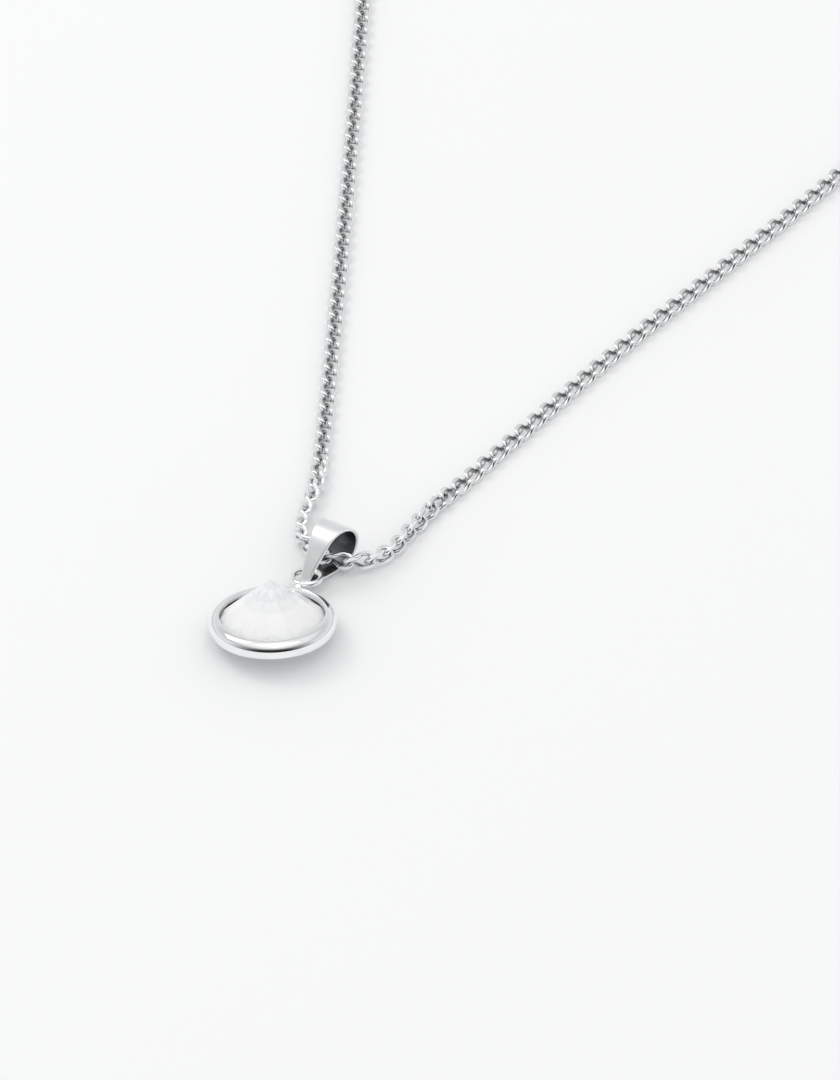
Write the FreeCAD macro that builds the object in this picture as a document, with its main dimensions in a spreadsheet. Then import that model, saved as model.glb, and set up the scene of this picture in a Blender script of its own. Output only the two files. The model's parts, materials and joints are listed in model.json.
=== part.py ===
"""Pendant necklace: a round set stone on a bail, on a flat curb chain with a lobster clasp.

Millimetres, +Z up. The origin is the centre of the pendant's back face. The necklace lies
on a level surface a little below it, because the pendant leans on its far edge.
"""
import FreeCAD, Part
import math
import os

import Sketcher
from FreeCAD import Placement, Rotation, Vector

X_AXIS = Vector(1, 0, 0)
Y_AXIS = Vector(0, 1, 0)
Z_AXIS = Vector(0, 0, 1)
ORIGIN = Vector(0, 0, 0)

doc = FreeCAD.newDocument("pendant_necklace")

# ---------------------------------------------------------------- driving dimensions

SIZES = [
    # setting: a base plate with a broad rounded rim on it
    ("plate_radius", 7.2),
    ("plate_thick", 0.75),
    ("plate_edge_round", 0.2),
    ("plate_recess_radius", 6.2),
    ("plate_recess_depth", 0.4),
    ("rim_mid_radius", 6.31),
    ("rim_bead_radius", 1.10),
    ("rim_bead_height", 0.15),
    ("rim_seat_radius", 6.42),
    ("rim_seat_height", 0.5),
    ("rim_lip_radius", 6.12),
    ("rim_lip_height", 0.674),
    # stone: a round brilliant, set point up
    ("girdle_radius", 6.3),
    ("girdle_top", 1.15),
    ("girdle_thick", 0.2),
    ("point_height", 6.53),
    ("point_star_radius", 1.7),
    ("table_radius", 3.4),
    ("table_star_radius", 4.7),
    ("table_height", 0.37),
    # eyelet, soldered to the rim
    ("eyelet_radius", 1.65),
    ("eyelet_wire", 0.345),
    ("eyelet_foot_radius", 0.33),
    ("eyelet_foot_length", 0.75),
    ("eyelet_distance", 9.44),
    ("eyelet_height", 1.75),
    ("eyelet_bearing", 65.7),
    # how the pendant leans on the surface
    ("lean_back", 10.7),
    ("lean_left", 1.5),
    # bail: a tapered strip folded into a teardrop loop
    ("bail_strip", 0.42),
    ("bail_near_radius", 0.48),
    ("bail_far_radius", 2.79),
    ("bail_length", 4.96),
    ("bail_near_width", 1.0),
    ("bail_far_width", 4.08),
    ("bail_x", 3.89),
    ("bail_y", 8.70),
    ("bail_above_surface", 1.324),
    ("bail_bearing", 55.5),
    ("bail_pitch", 20.6),
    ("bail_roll", -2.5),
    # curb chain
    ("link_pitch", 2.5),
    ("link_half_length", 1.70),
    ("link_half_width", 0.70),
    ("link_wire", 0.30),
    ("link_half_thick", 0.60),
    ("link_end_twist", 45.0),
    ("link_side_twist", 55.0),
    ("roll_at_bail", 82.6),
    # end rings
    ("jump_radius", 1.45),
    ("jump_wire", 0.25),
    ("clasp_jump_radius", 1.55),
    ("catch_radius", 2.1),
    ("catch_wire", 0.40),
    # lobster clasp
    ("clasp_half_thick", 1.0),
    ("clasp_outer", 2.85),
    ("clasp_inner", 1.55),
    ("clasp_near_centre", 4.2),
    ("clasp_far_centre", 8.7),
    ("clasp_eye_radius", 1.40),
    ("clasp_eye_wire", 0.32),
    ("clasp_gap_start", 3.2),
    ("clasp_gap_end", 9.0),
    ("clasp_slot_half", 0.5),
    ("pivot_x", 4.4),
    ("pivot_y", -2.2),
    ("cheek_radius", 1.0),
    ("slot_radius", 1.15),
    ("hub_radius", 0.9),
    ("hub_bottom", -0.45),
    ("hub_top", 0.0),
    ("rivet_radius", 0.35),
    ("rivet_play", 0.04),
    ("lever_arm_start", 5.55),
    ("lever_tip", 8.85),
    ("lever_half_thick", 0.9),
    ("tab_width", 0.9),
    ("tab_reach", 1.9),
    ("spring_radius", 0.62),
    ("spring_wire", 0.12),
    ("spring_sweep", 320.0),
    ("spring_leg", 0.4),
]

sheet = doc.addObject("Spreadsheet::Sheet", "sizes")
for row, (alias, value) in enumerate(SIZES, start=1):
    sheet.set("A%d" % row, alias)
    sheet.set("B%d" % row, str(value))
    sheet.setAlias("B%d" % row, alias)
doc.recompute()


def size(alias):
    """A driving dimension, read back from the sheet."""
    return float(sheet.get(alias))


def evaluate(expression):
    """The number that an expression on the sheet gives."""
    value = sheet.evalExpression(expression)
    return float(getattr(value, "Value", value))


nodes = []


def keep(obj, label, placement=None):
    """Name a finished sub-part, place it and put it on the list of nodes."""
    obj.Label = label
    if placement is not None:
        obj.Placement = placement
    nodes.append(obj)
    return obj


# ---------------------------------------------------------------- sketches and bodies


def origin_plane(body, role):
    for feature in body.Origin.OriginFeatures:
        if feature.Role == role:
            return feature
    raise ValueError(role)


def new_sketch(body, name, role):
    sketch = body.newObject("Sketcher::SketchObject", name)
    sketch.AttachmentSupport = (origin_plane(body, role), [""])
    sketch.MapMode = "FlatFace"
    return sketch


def tie(sketch, kind, geo, point, expression):
    """Hold one coordinate of a sketch point to an expression on the sheet."""
    value = evaluate(expression)
    index = sketch.addConstraint(Sketcher.Constraint(kind, -1, 1, geo, point, value))
    sketch.setExpression("Constraints[%d]" % index, expression)


def draw_loop(sketch, corners, arcs):
    """A closed loop of lines and arcs.

    corners are pairs of expressions. arcs maps a corner's number to (radius, centre x,
    centre y), expressions for the arc that runs counter-clockwise from it to the next.
    """
    points = [Vector(evaluate(x), evaluate(y), 0) for x, y in corners]
    count = len(points)
    first = sketch.GeometryCount
    ends = []
    for i in range(count):
        start = points[i]
        end = points[(i + 1) % count]
        if i in arcs:
            radius, cx, cy = arcs[i]
            centre = Vector(evaluate(cx), evaluate(cy), 0)
            circle = Part.Circle(centre, Z_AXIS, evaluate(radius))
            a0 = math.atan2(start.y - centre.y, start.x - centre.x)
            a1 = math.atan2(end.y - centre.y, end.x - centre.x)
            geo = sketch.addGeometry(Part.ArcOfCircle(circle, a0, a1), False)
        else:
            geo = sketch.addGeometry(Part.LineSegment(start, end), False)
        ends.append(geo)
    for i in range(count):
        sketch.addConstraint(Sketcher.Constraint("Coincident", ends[i], 2, ends[(i + 1) % count], 1))
    for i in range(count):
        tie(sketch, "DistanceX", first + i, 1, corners[i][0])
        tie(sketch, "DistanceY", first + i, 1, corners[i][1])
    for i, (radius, cx, cy) in arcs.items():
        index = sketch.addConstraint(Sketcher.Constraint("Radius", ends[i], evaluate(radius)))
        sketch.setExpression("Constraints[%d]" % index, radius)


def draw_circle(sketch, radius):
    """A circle about the sketch's origin, its radius an expression."""
    geo = sketch.addGeometry(Part.Circle(ORIGIN, Z_AXIS, evaluate(radius)), False)
    sketch.addConstraint(Sketcher.Constraint("Coincident", geo, 3, -1, 1))
    index = sketch.addConstraint(Sketcher.Constraint("Radius", geo, evaluate(radius)))
    sketch.setExpression("Constraints[%d]" % index, radius)


def fuse_all(name, parts):
    fused = doc.addObject("Part::MultiFuse", name)
    fused.Shapes = parts
    return fused


# ---------------------------------------------------------------- where things lie

lean = Rotation(X_AXIS, -size("lean_back")) * Rotation(Y_AXIS, -size("lean_left"))
PENDANT = Placement(ORIGIN, lean)

lean_total = lean.multVec(Z_AXIS).getAngle(Z_AXIS)
SURFACE_Z = -(
    (size("plate_radius") - size("plate_edge_round")) * math.sin(lean_total)
    + size("plate_edge_round") * (1 - math.cos(lean_total))
)


# ---------------------------------------------------------------- setting


def make_base_plate():
    """Round back of the setting, with a shallow recess for the stone's flat side."""
    body = doc.addObject("PartDesign::Body", "BasePlate")
    outline = new_sketch(body, "PlateOutline", "XY_Plane")
    draw_circle(outline, "sizes.plate_radius")
    pad = body.newObject("PartDesign::Pad", "PlatePad")
    pad.Profile = outline
    pad.setExpression("Length", "sizes.plate_thick")
    doc.recompute()
    lower_edges = []
    for number, edge in enumerate(pad.Shape.Edges, start=1):
        if isinstance(edge.Curve, Part.Circle) and abs(edge.CenterOfMass.z) < 1e-6:
            lower_edges.append("Edge%d" % number)
    rounding = body.newObject("PartDesign::Fillet", "PlateEdge")
    rounding.Base = (pad, lower_edges)
    rounding.setExpression("Radius", "sizes.plate_edge_round")
    recess = new_sketch(body, "RecessOutline", "XY_Plane")
    recess.setExpression("AttachmentOffset.Base.z", "sizes.plate_thick")
    draw_circle(recess, "sizes.plate_recess_radius")
    pocket = body.newObject("PartDesign::Pocket", "Recess")
    pocket.Profile = recess
    pocket.setExpression("Length", "sizes.plate_recess_depth")
    body.Tip = pocket
    return keep(body, "base_plate", PENDANT)


def make_bezel_rim():
    """Broad rounded rim with a lip that reaches over the stone's girdle."""
    body = doc.addObject("PartDesign::Body", "BezelRim")
    profile = new_sketch(body, "RimProfile", "XZ_Plane")
    bead_x = "sizes.rim_mid_radius"
    bead_y = "sizes.plate_thick + sizes.rim_bead_height"
    foot = "%s + sqrt(sizes.rim_bead_radius^2 - sizes.rim_bead_height^2)" % bead_x
    lip_x = "sizes.rim_lip_radius"
    crest = "%s + sqrt(sizes.rim_bead_radius^2 - (%s - %s)^2)" % (bead_y, bead_x, lip_x)
    corners = [
        ("sizes.rim_seat_radius", "sizes.plate_thick"),
        (foot, "sizes.plate_thick"),
        (lip_x, crest),
        (lip_x, "sizes.plate_thick + sizes.rim_lip_height"),
        ("sizes.rim_seat_radius", "sizes.plate_thick + sizes.rim_seat_height"),
    ]
    draw_loop(profile, corners, {1: ("sizes.rim_bead_radius", bead_x, bead_y)})
    turn = body.newObject("PartDesign::Revolution", "RimTurn")
    turn.Profile = profile
    turn.ReferenceAxis = (profile, ["V_Axis"])
    turn.Angle = 360.0
    body.Tip = turn
    return keep(body, "bezel_rim", PENDANT)


def ring_points(radius, z, count, offset_deg):
    step = 360.0 / count
    points = []
    for i in range(count):
        angle = math.radians(i * step + offset_deg)
        points.append(Vector(radius * math.cos(angle), radius * math.sin(angle), z))
    return points


def cone_height(radius, cone_apex_z, girdle_z, girdle_radius, half_step):
    """Height of a facet corner that lies in its main facet's plane."""
    fall = (cone_apex_z - girdle_z) / girdle_radius
    return cone_apex_z - fall * radius * math.cos(half_step)


def make_stone():
    """Round brilliant, its point up and its table down on the plate."""
    mains = 8
    half = math.pi / mains
    radius = size("girdle_radius")
    top = size("girdle_top")
    low = top - size("girdle_thick")
    apex = Vector(0, 0, size("point_height"))
    high_girdle = ring_points(radius, top, 2 * mains, 0)
    low_girdle = ring_points(radius, low, 2 * mains, 0)
    star_z = cone_height(size("point_star_radius"), apex.z, top, radius, half)
    stars = ring_points(size("point_star_radius"), star_z, mains, math.degrees(half))
    faces = []
    for i in range(mains):
        faces.append([apex, stars[i - 1], high_girdle[2 * i], stars[i]])
        faces.append([stars[i], high_girdle[2 * i], high_girdle[2 * i + 1]])
        faces.append([stars[i], high_girdle[2 * i + 1], high_girdle[(2 * i + 2) % (2 * mains)]])
    for i in range(2 * mains):
        j = (i + 1) % (2 * mains)
        faces.append([high_girdle[i], low_girdle[i], low_girdle[j], high_girdle[j]])
    table_r = size("table_radius")
    table_z = size("table_height")
    table = ring_points(table_r, table_z, mains, 0)
    slope = (low - table_z) / (radius - table_r)
    crown_star_r = size("table_star_radius")
    crown_star_z = table_z + slope * (crown_star_r * math.cos(half) - table_r)
    crown_stars = ring_points(crown_star_r, crown_star_z, mains, math.degrees(half))
    for i in range(mains):
        faces.append([table[i], crown_stars[i - 1], low_girdle[2 * i], crown_stars[i]])
        faces.append([table[i], crown_stars[i], table[(i + 1) % mains]])
        faces.append([crown_stars[i], low_girdle[2 * i], low_girdle[2 * i + 1]])
        faces.append([crown_stars[i], low_girdle[2 * i + 1], low_girdle[(2 * i + 2) % (2 * mains)]])
    faces.append(table)
    shell = Part.makeShell([Part.Face(Part.makePolygon(loop + [loop[0]])) for loop in faces])
    solid = Part.makeSolid(shell)
    if solid.Volume < 0:
        solid.reverse()
    stone = doc.addObject("Part::Feature", "Stone")
    stone.Shape = solid
    return keep(stone, "stone", PENDANT)


def make_torus(name, radius, wire):
    ring = doc.addObject("Part::Torus", name)
    ring.setExpression("Radius1", "sizes.%s" % radius)
    ring.setExpression("Radius2", "sizes.%s" % wire)
    return ring


def eyelet_centre():
    """Centre of the eyelet in the pendant's own frame."""
    bearing = math.radians(size("eyelet_bearing"))
    reach = size("eyelet_distance")
    return Vector(reach * math.cos(bearing), reach * math.sin(bearing), size("eyelet_height"))


def make_eyelet():
    """Round eyelet with a short solder foot that joins it to the rim."""
    ring = make_torus("EyeletRing", "eyelet_radius", "eyelet_wire")
    foot = doc.addObject("Part::Cylinder", "EyeletFoot")
    foot.setExpression("Radius", "sizes.eyelet_foot_radius")
    foot.setExpression("Height", "sizes.eyelet_foot_length")
    inner_end = Vector(-size("eyelet_radius") - size("eyelet_foot_length"), 0, 0)
    foot.Placement = Placement(inner_end, Rotation(Y_AXIS, 90))
    eyelet = fuse_all("Eyelet", [ring, foot])
    outward = Rotation(Z_AXIS, size("eyelet_bearing"))
    return keep(eyelet, "eyelet_ring", PENDANT * Placement(eyelet_centre(), outward))


# ---------------------------------------------------------------- bail

BAIL = Placement(
    Vector(size("bail_x"), size("bail_y"), SURFACE_Z + size("bail_above_surface")),
    Rotation(Z_AXIS, size("bail_bearing"))
    * Rotation(Y_AXIS, -size("bail_pitch"))
    * Rotation(X_AXIS, size("bail_roll")),
)


def loop_corners(offset):
    """Corners and arcs of the bail's teardrop loop, offset from its middle line."""
    lean_sin = "((sizes.bail_far_radius - sizes.bail_near_radius) / sizes.bail_length)"
    lean_cos = "sqrt(1 - %s^2)" % lean_sin
    near = "(sizes.bail_near_radius + (%s))" % offset
    far = "(sizes.bail_far_radius + (%s))" % offset
    near_x = "-%s * %s" % (near, lean_sin)
    far_x = "sizes.bail_length - %s * %s" % (far, lean_sin)
    corners = [
        (near_x, "%s * %s" % (near, lean_cos)),
        (near_x, "-%s * %s" % (near, lean_cos)),
        (far_x, "-%s * %s" % (far, lean_cos)),
        (far_x, "%s * %s" % (far, lean_cos)),
    ]
    arcs = {0: (near, "0", "0"), 2: (far, "sizes.bail_length", "0")}
    return corners, arcs


def make_bail():
    """Teardrop loop of strip, cut to a taper that widens away from the eyelet."""
    body = doc.addObject("PartDesign::Body", "BailLoop")
    profile = new_sketch(body, "BailProfile", "XZ_Plane")
    for offset in ("sizes.bail_strip / 2", "-sizes.bail_strip / 2"):
        corners, arcs = loop_corners(offset)
        draw_loop(profile, corners, arcs)
    pad = body.newObject("PartDesign::Pad", "BailPad")
    pad.Profile = profile
    pad.SideType = "Symmetric"
    pad.setExpression("Length", "sizes.bail_far_width + 1")
    body.Tip = pad
    taper = doc.addObject("Part::Wedge", "BailTaper")
    reach = "sizes.bail_far_radius + sizes.bail_strip"
    near_end = "sizes.bail_near_radius + sizes.bail_strip"
    taper.setExpression("Ymin", "-(%s)" % near_end)
    taper.setExpression("Ymax", "sizes.bail_length + %s" % reach)
    for low, high, width in (("Xmin", "Xmax", "near"), ("X2min", "X2max", "far")):
        taper.setExpression(low, "-sizes.bail_%s_width / 2" % width)
        taper.setExpression(high, "sizes.bail_%s_width / 2" % width)
    for low, high in (("Zmin", "Zmax"), ("Z2min", "Z2max")):
        taper.setExpression(low, "-(%s)" % reach)
        taper.setExpression(high, reach)
    taper.Placement = Placement(ORIGIN, Rotation(Z_AXIS, -90))
    bail = doc.addObject("Part::Common", "Bail")
    bail.Base = body
    bail.Tool = taper
    return keep(bail, "bail", BAIL)


# ---------------------------------------------------------------- one chain link


def tangent_joint(p0, t0, p1, t1):
    """Corner points of two arcs that join p0 and p1 along the directions t0 and t1."""
    gap = p1 - p0
    both = t0 + t1
    a = both.dot(both) - 4
    b = -2 * gap.dot(both)
    c = gap.dot(gap)
    root = math.sqrt(b * b - 4 * a * c)
    reach = min(x for x in ((-b - root) / (2 * a), (-b + root) / (2 * a)) if x > 0)
    q0 = p0 + t0 * reach
    q1 = p1 - t1 * reach
    return [p0, q0, (q0 + q1) * 0.5, q1, p1]


def corner_arc(start, corner, end):
    """The arc that rounds a corner from start to end."""
    before = (corner - start).normalize()
    after = (end - corner).normalize()
    radius = (corner - start).Length / math.tan(before.getAngle(after) / 2)
    inward = (after - before * before.dot(after)).normalize()
    centre = start + inward * radius
    middle = centre + (corner - centre).normalize() * radius
    return Part.Arc(start, middle, end).toShape()


def make_link_shape():
    """Curb link: a twisted oval of round wire, ground flat above and below.

    The oval is eight tangent arcs. One quarter gives the rest by half turns, because the
    link looks the same when it is turned half round about any of its three axes.
    """
    end = Vector(size("link_half_length"), 0, 0)
    side = Vector(0, size("link_half_width"), 0)
    end_twist = math.radians(size("link_end_twist"))
    side_twist = math.radians(size("link_side_twist"))
    end_way = Vector(0, math.cos(end_twist), -math.sin(end_twist))
    side_way = Vector(-math.cos(side_twist), 0, math.sin(side_twist))
    quarter = tangent_joint(end, end_way, side, side_way)
    second = [Vector(-p.x, p.y, -p.z) for p in reversed(quarter)]
    route = quarter + second[1:]
    arcs = [corner_arc(route[i], route[i + 1], route[i + 2]) for i in range(0, len(route) - 1, 2)]
    section = Part.Wire([Part.makeCircle(size("link_wire"), end, end_way)])
    tube = Part.Wire(arcs).makePipeShell([section], True, True)
    half_thick = size("link_half_thick")
    span = 4 * size("link_half_length")
    slab = Part.makeBox(span, span, 2 * half_thick, Vector(-span / 2, -span / 2, -half_thick))
    upper = tube.common(slab)
    lower = upper.copy()
    lower.rotate(ORIGIN, X_AXIS, 180)
    return upper.fuse(lower).removeSplitter().Solids[0]


# ---------------------------------------------------------------- how the chain lies

# Links are numbered from the one in the bail, 0: negative to the left, positive to the
# right. Each stretch is (number of steps, change of bearing at each step, in degrees).
CENTRE_AT = (7.37, 11.85)
LEFT_BEARING = 151.3
LEFT_TURNS = [
    (1, 0), (1, -25.6), (1, -20.5), (1, -19.1), (1, -6.8), (1, -4.8), (1, 3.6), (1, 6.6), (2, 0.95),
    (36, 0.03), (54, -0.5),
]
RIGHT_BEARING = -2.4
RIGHT_TURNS = [
    (1, 0), (1, 25.9), (1, 23.0), (1, 13.2), (1, -0.7), (1, 0.5), (1, -2.9), (1, -3.8), (2, 0.25),
    (9, 0), (6, -0.5), (11, 0.1), (63, 0.4),
]
# How far the bail's strip and the links' own slope hold each link off the surface.
LEFT_LIFTS = [0.68, 0.62, 0.45, 0.31, 0.07]
RIGHT_LIFTS = [0.68, 0.61, 0.46, 0.31, 0.18]
UPRIGHT_TO = 3.2
FLAT_FROM = 9.6
LINKS_PER_SECTION = 6
SECTIONS = 16
CENTRE_LEFT = 4
CENTRE_RIGHT = 3


def roll_of(number):
    """How far a link is rolled up on its edge: upright in the bail, flat further out."""
    out = (abs(number) - UPRIGHT_TO) / float(FLAT_FROM - UPRIGHT_TO)
    out = min(max(out, 0.0), 1.0)
    return size("roll_at_bail") * (1 - out * out * (3 - 2 * out))


def lift_of(number):
    lifts = LEFT_LIFTS if number < 0 else RIGHT_LIFTS
    return lifts[abs(number)] if abs(number) < len(lifts) else 0.0


def bearings(first, turns):
    """The bearing of each step away from the bail."""
    bearing = first
    result = []
    for count, turn in turns:
        for step in range(count):
            bearing += turn
            result.append(bearing)
    return result


class Lie:
    """Where each link of the chain lies: its centre and its placement."""

    def __init__(self, link, left_count, right_count):
        self.points = link.tessellate(0.01)[0]
        self.lowest = {}
        self.centre = {0: Vector(CENTRE_AT[0], CENTRE_AT[1], self.height(0))}
        for sign, first, turns, count in (
            (-1, LEFT_BEARING, LEFT_TURNS, left_count),
            (1, RIGHT_BEARING, RIGHT_TURNS, right_count),
        ):
            ways = bearings(first, turns)
            for i in range(1, count + 1):
                self.centre[sign * i] = self.step(self.centre[sign * (i - 1)], ways[i - 1], sign * i)
        for repeat in range(3):
            self.settle()

    def settle(self):
        """Lower or raise the sloping links until each one meets what holds it up."""
        reach = math.ceil(FLAT_FROM) + 1
        near = range(-reach, reach + 1)
        placed = {number: self.placement(number) for number in near}
        for number, place in placed.items():
            lowest = min(place.multVec(p).z for p in self.points)
            self.centre[number].z += SURFACE_Z + lift_of(number) - lowest

    def rest_height(self, roll):
        """Height of a link's centre above the surface that it rests on at this roll."""
        key = round(roll, 3)
        if key not in self.lowest:
            turn = Rotation(X_AXIS, roll)
            self.lowest[key] = -min(turn.multVec(p).z for p in self.points)
        return self.lowest[key]

    def height(self, number):
        return SURFACE_Z + self.rest_height(roll_of(number)) + lift_of(number)

    def step(self, before, bearing, number):
        """The next link's centre, one pitch on along the bearing."""
        rise = self.height(number) - before.z
        run = math.sqrt(size("link_pitch") ** 2 - rise ** 2)
        way = math.radians(bearing)
        return before + Vector(run * math.cos(way), run * math.sin(way), rise)

    def placement(self, number):
        """A link points along its neighbours, from the left end to the right end."""
        before = self.centre.get(number - 1)
        after = self.centre.get(number + 1)
        here = self.centre[number]
        if before is None:
            along = after - here
        elif after is None:
            along = here - before
        else:
            along = after - before
        along.normalize()
        across = Z_AXIS.cross(along).normalize()
        up = along.cross(across)
        frame = Rotation(along, across, up, "ZXY")
        return Placement(here, frame * Rotation(X_AXIS, roll_of(number)))


def make_chain(link, lie):
    """Every link is a solid of its own. Six neighbours share a node."""
    groups = [("chain_center", list(range(-CENTRE_LEFT, CENTRE_RIGHT + 1)))]
    for index in range(SECTIONS):
        first = 1 + index * LINKS_PER_SECTION
        steps = range(first, first + LINKS_PER_SECTION)
        groups.append(("chain_left_%02d" % (index + 1), [-CENTRE_LEFT - k for k in steps]))
        groups.append(("chain_right_%02d" % (index + 1), [CENTRE_RIGHT + k for k in steps]))
    for label, numbers in groups:
        links = []
        for number in numbers:
            solid = link.copy()
            solid.Placement = lie.placement(number)
            links.append(solid)
        section = doc.addObject("Part::Feature", label)
        section.Shape = Part.makeCompound(links)
        keep(section, label, Placement())


# ---------------------------------------------------------------- end rings and clasp


def strand_end(lie, number, inner):
    """Frame at a strand's last link: X points on along the chain, Z up, on the surface."""
    here = lie.centre[number]
    along = (here - lie.centre[inner]).normalize()
    base = Vector(here.x, here.y, SURFACE_Z)
    return Placement(base, Rotation(along, Z_AXIS.cross(along), Z_AXIS, "ZXY"))


def tilted(x, y, z, tilt, swing):
    return Placement(Vector(x, y, z), Rotation(Z_AXIS, swing) * Rotation(X_AXIS, tilt))


def cut(name, base, tool):
    result = doc.addObject("Part::Cut", name)
    result.Base = base
    result.Tool = tool
    return result


def disc(name, x, y, radius, half):
    """Round plate about (x, y), half its thickness each way from the mid plane."""
    plate = doc.addObject("Part::Cylinder", name)
    plate.setExpression("Radius", radius)
    plate.setExpression("Height", "2 * %s" % half)
    plate.setExpression("Placement.Base.x", x)
    plate.setExpression("Placement.Base.y", y)
    plate.setExpression("Placement.Base.z", "-(%s)" % half)
    return plate


def block(name, x0, x1, y0, y1, z0, z1):
    """Box between two corners, each coordinate an expression."""
    box = doc.addObject("Part::Box", name)
    for prop, low, high in (("Length", x0, x1), ("Width", y0, y1), ("Height", z0, z1)):
        box.setExpression(prop, "(%s) - (%s)" % (high, low))
    for axis, low in (("x", x0), ("y", y0), ("z", z0)):
        box.setExpression("Placement.Base.%s" % axis, low)
    return box


def stadium(name, radius, half):
    """Long rounded plate about the clasp's two centres."""
    near = disc(name + "Near", "sizes.clasp_near_centre", "0", radius, half)
    far = disc(name + "Far", "sizes.clasp_far_centre", "0", radius, half)
    middle = block(
        name + "Middle",
        "sizes.clasp_near_centre",
        "sizes.clasp_far_centre",
        "-(%s)" % radius,
        radius,
        "-(%s)" % half,
        half,
    )
    return fuse_all(name, [near, far, middle])


def make_clasp_body(place):
    """Lobster clasp: eye, hooked frame and the forked cheeks that carry the lever."""
    thick = "sizes.clasp_half_thick"
    outer = stadium("ClaspOuter", "sizes.clasp_outer", thick)
    inner = stadium("ClaspInner", "sizes.clasp_inner", thick + " + 1")
    frame = cut("ClaspFrame", outer, inner)
    gap = block(
        "ClaspGap",
        "sizes.clasp_gap_start",
        "sizes.clasp_gap_end",
        "-sizes.clasp_outer - 1",
        "-sizes.clasp_inner + 0.1",
        "-%s - 1" % thick,
        "%s + 1" % thick,
    )
    hook = cut("ClaspHook", frame, gap)
    cheek = disc("ClaspCheek", "sizes.pivot_x", "sizes.pivot_y", "sizes.cheek_radius", thick)
    neck = block(
        "ClaspNeck",
        "sizes.clasp_gap_start - 0.3",
        "sizes.pivot_x",
        "sizes.pivot_y - 0.6",
        "sizes.pivot_y + 0.9",
        "-%s" % thick,
        thick,
    )
    eye = doc.addObject("Part::Torus", "ClaspEye")
    eye.setExpression("Radius1", "sizes.clasp_eye_radius")
    eye.setExpression("Radius2", "sizes.clasp_eye_wire")
    solid = fuse_all("ClaspSolid", [hook, cheek, neck, eye])
    slot = disc("ClaspSlot", "sizes.pivot_x", "sizes.pivot_y", "sizes.slot_radius", "sizes.clasp_slot_half")
    rivet_hole = disc("RivetHole", "sizes.pivot_x", "sizes.pivot_y", "sizes.rivet_radius", thick + " + 1")
    body = cut("ClaspBody", solid, fuse_all("ClaspCuts", [slot, rivet_hole]))
    return keep(body, "clasp_body", place)


def make_clasp_lever(place):
    """Lever: hub on the rivet, arm that closes the hook, tab for the thumb."""
    hub_low = "sizes.hub_bottom"
    hub_high = "sizes.hub_top"
    hub = doc.addObject("Part::Cylinder", "LeverHub")
    hub.setExpression("Radius", "sizes.hub_radius")
    hub.setExpression("Height", "sizes.hub_top - sizes.hub_bottom")
    hub.setExpression("Placement.Base.x", "sizes.pivot_x")
    hub.setExpression("Placement.Base.y", "sizes.pivot_y")
    hub.setExpression("Placement.Base.z", "sizes.hub_bottom")
    arm = block(
        "LeverArm",
        "sizes.lever_arm_start",
        "sizes.lever_tip",
        "-sizes.clasp_outer",
        "-sizes.clasp_inner",
        "-sizes.lever_half_thick",
        "sizes.lever_half_thick",
    )
    neck = block(
        "LeverNeck",
        "sizes.pivot_x",
        "sizes.lever_arm_start",
        "-sizes.clasp_outer",
        "-sizes.clasp_inner",
        hub_low,
        hub_high,
    )
    tab = block(
        "LeverTab",
        "sizes.pivot_x - sizes.tab_width",
        "sizes.pivot_x",
        "sizes.pivot_y - sizes.tab_reach",
        "sizes.pivot_y",
        hub_low,
        hub_high,
    )
    solid = fuse_all("LeverSolid", [hub, arm, neck, tab])
    play = "sizes.rivet_radius + sizes.rivet_play"
    bore = disc("LeverBore", "sizes.pivot_x", "sizes.pivot_y", play, "sizes.clasp_half_thick")
    lever = cut("ClaspLever", solid, bore)
    return keep(lever, "clasp_lever", place)


def make_rivet(place):
    thick = "sizes.clasp_half_thick"
    pin = doc.addObject("Part::Cylinder", "LeverRivet")
    pin.setExpression("Radius", "sizes.rivet_radius")
    pin.setExpression("Height", "2 * %s" % thick)
    foot = Vector(size("pivot_x"), size("pivot_y"), -size("clasp_half_thick"))
    return keep(pin, "lever_rivet", place * Placement(foot, Rotation()))


def make_spring(place):
    """Single-turn spring about the rivet, above the lever's hub, with a leg at each end."""
    coil = make_torus("SpringCoil", "spring_radius", "spring_wire")
    coil.setExpression("Angle3", "sizes.spring_sweep")
    parts = [coil]
    for name, angle, way in (("SpringLegA", 0.0, 90), ("SpringLegB", size("spring_sweep"), -90)):
        leg = doc.addObject("Part::Cylinder", name)
        leg.setExpression("Radius", "sizes.spring_wire")
        leg.setExpression("Height", "sizes.spring_leg")
        turn = Rotation(Z_AXIS, angle)
        foot = turn.multVec(Vector(size("spring_radius"), 0, 0))
        leg.Placement = Placement(foot, turn * Rotation(X_AXIS, way))
        parts.append(leg)
    spring = fuse_all("LeverSpring", parts)
    middle = 0.5 * (size("hub_top") + size("clasp_slot_half"))
    about_rivet = Placement(Vector(size("pivot_x"), size("pivot_y"), middle), Rotation())
    return keep(spring, "lever_spring", place * about_rivet)


def make_plain_end(frame):
    """Jump ring and the larger ring that the clasp hooks into."""
    jump = make_torus("LeftJumpRing", "jump_radius", "jump_wire")
    keep(jump, "left_jump_ring", frame * tilted(1.88, 0.03, 1.38, 51.0, -36.3))
    catch = make_torus("CatchRing", "catch_radius", "catch_wire")
    keep(catch, "catch_ring", frame * tilted(3.78, 0.0, 1.30, -25.0, -29.0))


def make_clasp_end(frame):
    """Leaning jump ring, with the lobster clasp lying flat beyond it."""
    jump = make_torus("ClaspJumpRing", "clasp_jump_radius", "jump_wire")
    keep(jump, "clasp_jump_ring", frame * tilted(2.29, 0.29, 1.09, 32.5, -15.0))
    place = frame * Placement(Vector(3.72, -0.33, size("clasp_half_thick")), Rotation())
    make_clasp_body(place)
    make_clasp_lever(place)
    make_rivet(place)
    make_spring(place)


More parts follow.
